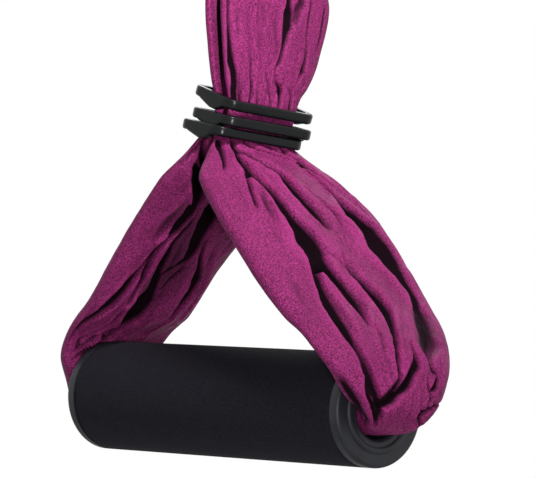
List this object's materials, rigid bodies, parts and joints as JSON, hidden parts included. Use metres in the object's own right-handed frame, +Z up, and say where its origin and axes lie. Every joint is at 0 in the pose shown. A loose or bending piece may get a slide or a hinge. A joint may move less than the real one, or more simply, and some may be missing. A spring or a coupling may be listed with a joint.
{
  "type": "yoga trapeze swing hand grip",
  "caption": "Foam hand grip on a gathered cloth band that passes through sliding rings and hangs from a sprung snap hook.",
  "frame": {"origin": "inner top of the snap hook, where the strap or ring from above bears on it", "axes": "+Z up along the hang line, +X along the grip towards the end the picture shows open, +Y away from the hook's gate"},
  "size_m": [0.1555, 0.0654, 0.2449],
  "materials": {
    "zinc_steel": "zinc plated, satin",
    "foam": "matt closed-cell foam skin",
    "tube": "plain moulded tube",
    "cap": "black moulded, soft sheen",
    "ring": "black moulded, semi-gloss",
    "cloth": "plum nylon with a slight sheen"
  },
  "bodies": {
    "hook": {"hook_body": "zinc_steel", "gate_pin": "zinc_steel"},
    "gate": {"hook_gate": "zinc_steel", "gate_spring": "zinc_steel", "gate_plunger": "zinc_steel"},
    "sling": {"band_upper": "cloth", "band_leg_right": "cloth", "band_leg_left": "cloth", "band_in_grip": "cloth"},
    "grip": {"foam_grip": "foam", "core_tube": "tube", "end_cap_right": "cap", "end_cap_left": "cap"},
    "bottom_ring": {"ring_bottom": "ring"},
    "middle_ring": {"ring_middle": "ring"},
    "top_ring": {"ring_top": "ring"}
  },
  "joints": [
    {"name": "gate_swing", "type": "hinge", "parent": "hook", "child": "gate", "pos_m": [0, -0.015, -0.049], "axis": [-1, 0, 0], "range_deg": [0, 30], "stiffness_Nm_per_rad": 0.04, "springref_deg": -5.73},
    {"name": "band_swing", "type": "hinge", "parent": "hook", "child": "sling", "pos_m": [0, 0, -0.068], "axis": [0, 1, 0], "range_deg": [-60, 60]},
    {"name": "grip_spin", "type": "hinge", "parent": "sling", "child": "grip", "pos_m": [0, 0, -0.22], "axis": [1, 0, 0], "continuous": true},
    {"name": "bottom_ring_slide", "type": "slide", "parent": "sling", "child": "bottom_ring", "axis": [0, 0, 1], "range_m": [0, 0.024], "deforming": ["band_upper"]},
    {"name": "middle_ring_slide", "type": "slide", "parent": "bottom_ring", "child": "middle_ring", "axis": [0, 0, 1], "range_m": [0, 0.003], "deforming": ["band_upper"]},
    {"name": "top_ring_slide", "type": "slide", "parent": "middle_ring", "child": "top_ring", "axis": [0, 0, 1], "range_m": [0, 0.003], "deforming": ["band_upper"]}
  ]
}
